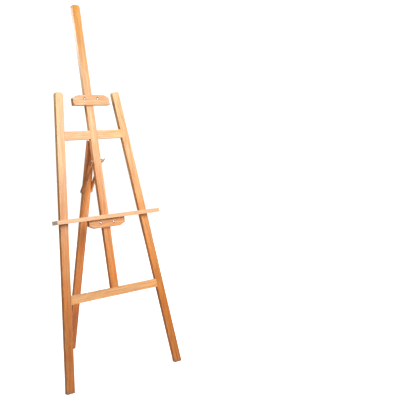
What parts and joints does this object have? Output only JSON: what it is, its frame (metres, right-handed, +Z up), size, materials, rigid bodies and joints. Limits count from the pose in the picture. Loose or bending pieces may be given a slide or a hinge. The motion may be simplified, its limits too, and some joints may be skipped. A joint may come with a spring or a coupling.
{
  "type": "wooden artist easel",
  "caption": "Folding A-frame studio easel in wooden slats with a central mast, hinged rear leg with slotted braces, sliding canvas tray and upper canvas clamp",
  "frame": {"origin": "on the floor, in the middle of the footprint of the open easel", "axes": "+Z up, +X to the right of a person facing the canvas, -Y towards that person"},
  "size_m": [0.7242, 0.57, 1.9169],
  "materials": {
    "leg_wood": "satin oiled beech, warm",
    "mast_wood": "satin oiled beech, paler",
    "rear_wood": "satin oiled beech, redder",
    "holder_wood": "satin oiled beech",
    "zinc_steel": "zinc plated, slightly dull"
  },
  "bodies": {
    "frame": {"left_leg": "leg_wood", "right_leg": "leg_wood", "upper_crossbar": "mast_wood", "lower_crossbar": "mast_wood", "mast": "mast_wood", "upper_crossbar_screw_left": "zinc_steel", "upper_crossbar_screw_right": "zinc_steel", "lower_crossbar_screw_left": "zinc_steel", "lower_crossbar_screw_right": "zinc_steel", "mast_foot_screw": "zinc_steel", "hinge_leaf_crossbar": "zinc_steel", "hinge_pin": "zinc_steel", "hinge_screw_crossbar_left": "zinc_steel", "hinge_screw_crossbar_right": "zinc_steel", "brace_bolt_mast": "zinc_steel", "brace_washer_mast_left": "zinc_steel", "brace_washer_mast_right": "zinc_steel"},
    "rear_leg": {"rear_leg": "rear_wood", "hinge_leaf_rear_leg": "zinc_steel", "hinge_screw_rear_leg_left": "zinc_steel", "hinge_screw_rear_leg_right": "zinc_steel", "brace_bolt_rear_leg": "zinc_steel", "brace_washer_rear_leg_left": "zinc_steel", "brace_washer_rear_leg_right": "zinc_steel", "brace_nut_rear_leg": "zinc_steel"},
    "brace": {"brace_link_left": "rear_wood", "brace_link_right": "rear_wood"},
    "brace_wing_nut": {"brace_wing_nut": "zinc_steel"},
    "upper_holder": {"upper_holder_front_plate": "holder_wood", "upper_holder_lip": "holder_wood", "upper_holder_rear_plate": "holder_wood", "lip_screw_left": "zinc_steel", "lip_screw_right": "zinc_steel", "upper_holder_bolt_left": "zinc_steel", "upper_holder_bolt_right": "zinc_steel", "upper_holder_washer_left": "zinc_steel", "upper_holder_washer_right": "zinc_steel"},
    "upper_wing_nut_left": {"upper_holder_wing_nut_left": "zinc_steel"},
    "upper_wing_nut_right": {"upper_holder_wing_nut_right": "zinc_steel"},
    "lower_holder": {"canvas_tray": "holder_wood", "lower_holder_front_plate": "holder_wood", "lower_holder_rear_plate": "holder_wood", "tray_screw_left": "zinc_steel", "tray_screw_right": "zinc_steel", "lower_holder_bolt_left": "zinc_steel", "lower_holder_bolt_right": "zinc_steel", "lower_holder_washer_left": "zinc_steel", "lower_holder_washer_right": "zinc_steel"},
    "lower_wing_nut_left": {"lower_holder_wing_nut_left": "zinc_steel"},
    "lower_wing_nut_right": {"lower_holder_wing_nut_right": "zinc_steel"}
  },
  "joints": [
    {"name": "rear_leg_fold", "type": "hinge", "parent": "frame", "child": "rear_leg", "pos_m": [0, 0.01378, 1.21299], "axis": [1, 0, 0], "range_deg": [-20, 0]},
    {"name": "brace_swing", "type": "hinge", "parent": "rear_leg", "child": "brace", "pos_m": [0, 0.08049, 0.93576], "axis": [1, 0, 0], "range_deg": [-9.2, 0]},
    {"name": "brace_nut_turn", "type": "hinge", "parent": "frame", "child": "brace_wing_nut", "pos_m": [0.0332, -0.02479, 1.10687], "axis": [1, 0, 0], "continuous": true},
    {"name": "upper_holder_slide", "type": "slide", "parent": "frame", "child": "upper_holder", "axis": [0, 0.2198, 0.9755], "range_m": [-0.125, 0.48]},
    {"name": "lower_holder_slide", "type": "slide", "parent": "frame", "child": "lower_holder", "axis": [0, 0.2198, 0.9755], "range_m": [-0.31, 0.075]},
    {"name": "upper_nut_turn_left", "type": "hinge", "parent": "upper_holder", "child": "upper_wing_nut_left", "pos_m": [-0.04, 0.07013, 1.41617], "axis": [0, 0.9755, -0.2198], "continuous": true},
    {"name": "upper_nut_turn_right", "type": "hinge", "parent": "upper_holder", "child": "upper_wing_nut_right", "pos_m": [0.04, 0.07013, 1.41617], "axis": [0, 0.9755, -0.2198], "continuous": true},
    {"name": "lower_nut_turn_left", "type": "hinge", "parent": "lower_holder", "child": "lower_wing_nut_left", "pos_m": [-0.0465, -0.07301, 0.781], "axis": [0, 0.9755, -0.2198], "continuous": true},
    {"name": "lower_nut_turn_right", "type": "hinge", "parent": "lower_holder", "child": "lower_wing_nut_right", "pos_m": [0.0335, -0.07301, 0.781], "axis": [0, 0.9755, -0.2198], "continuous": true}
  ],
  "couplings": [
    {"joint": "brace_swing", "follows": "rear_leg_fold", "ratio": 0.46}
  ]
}
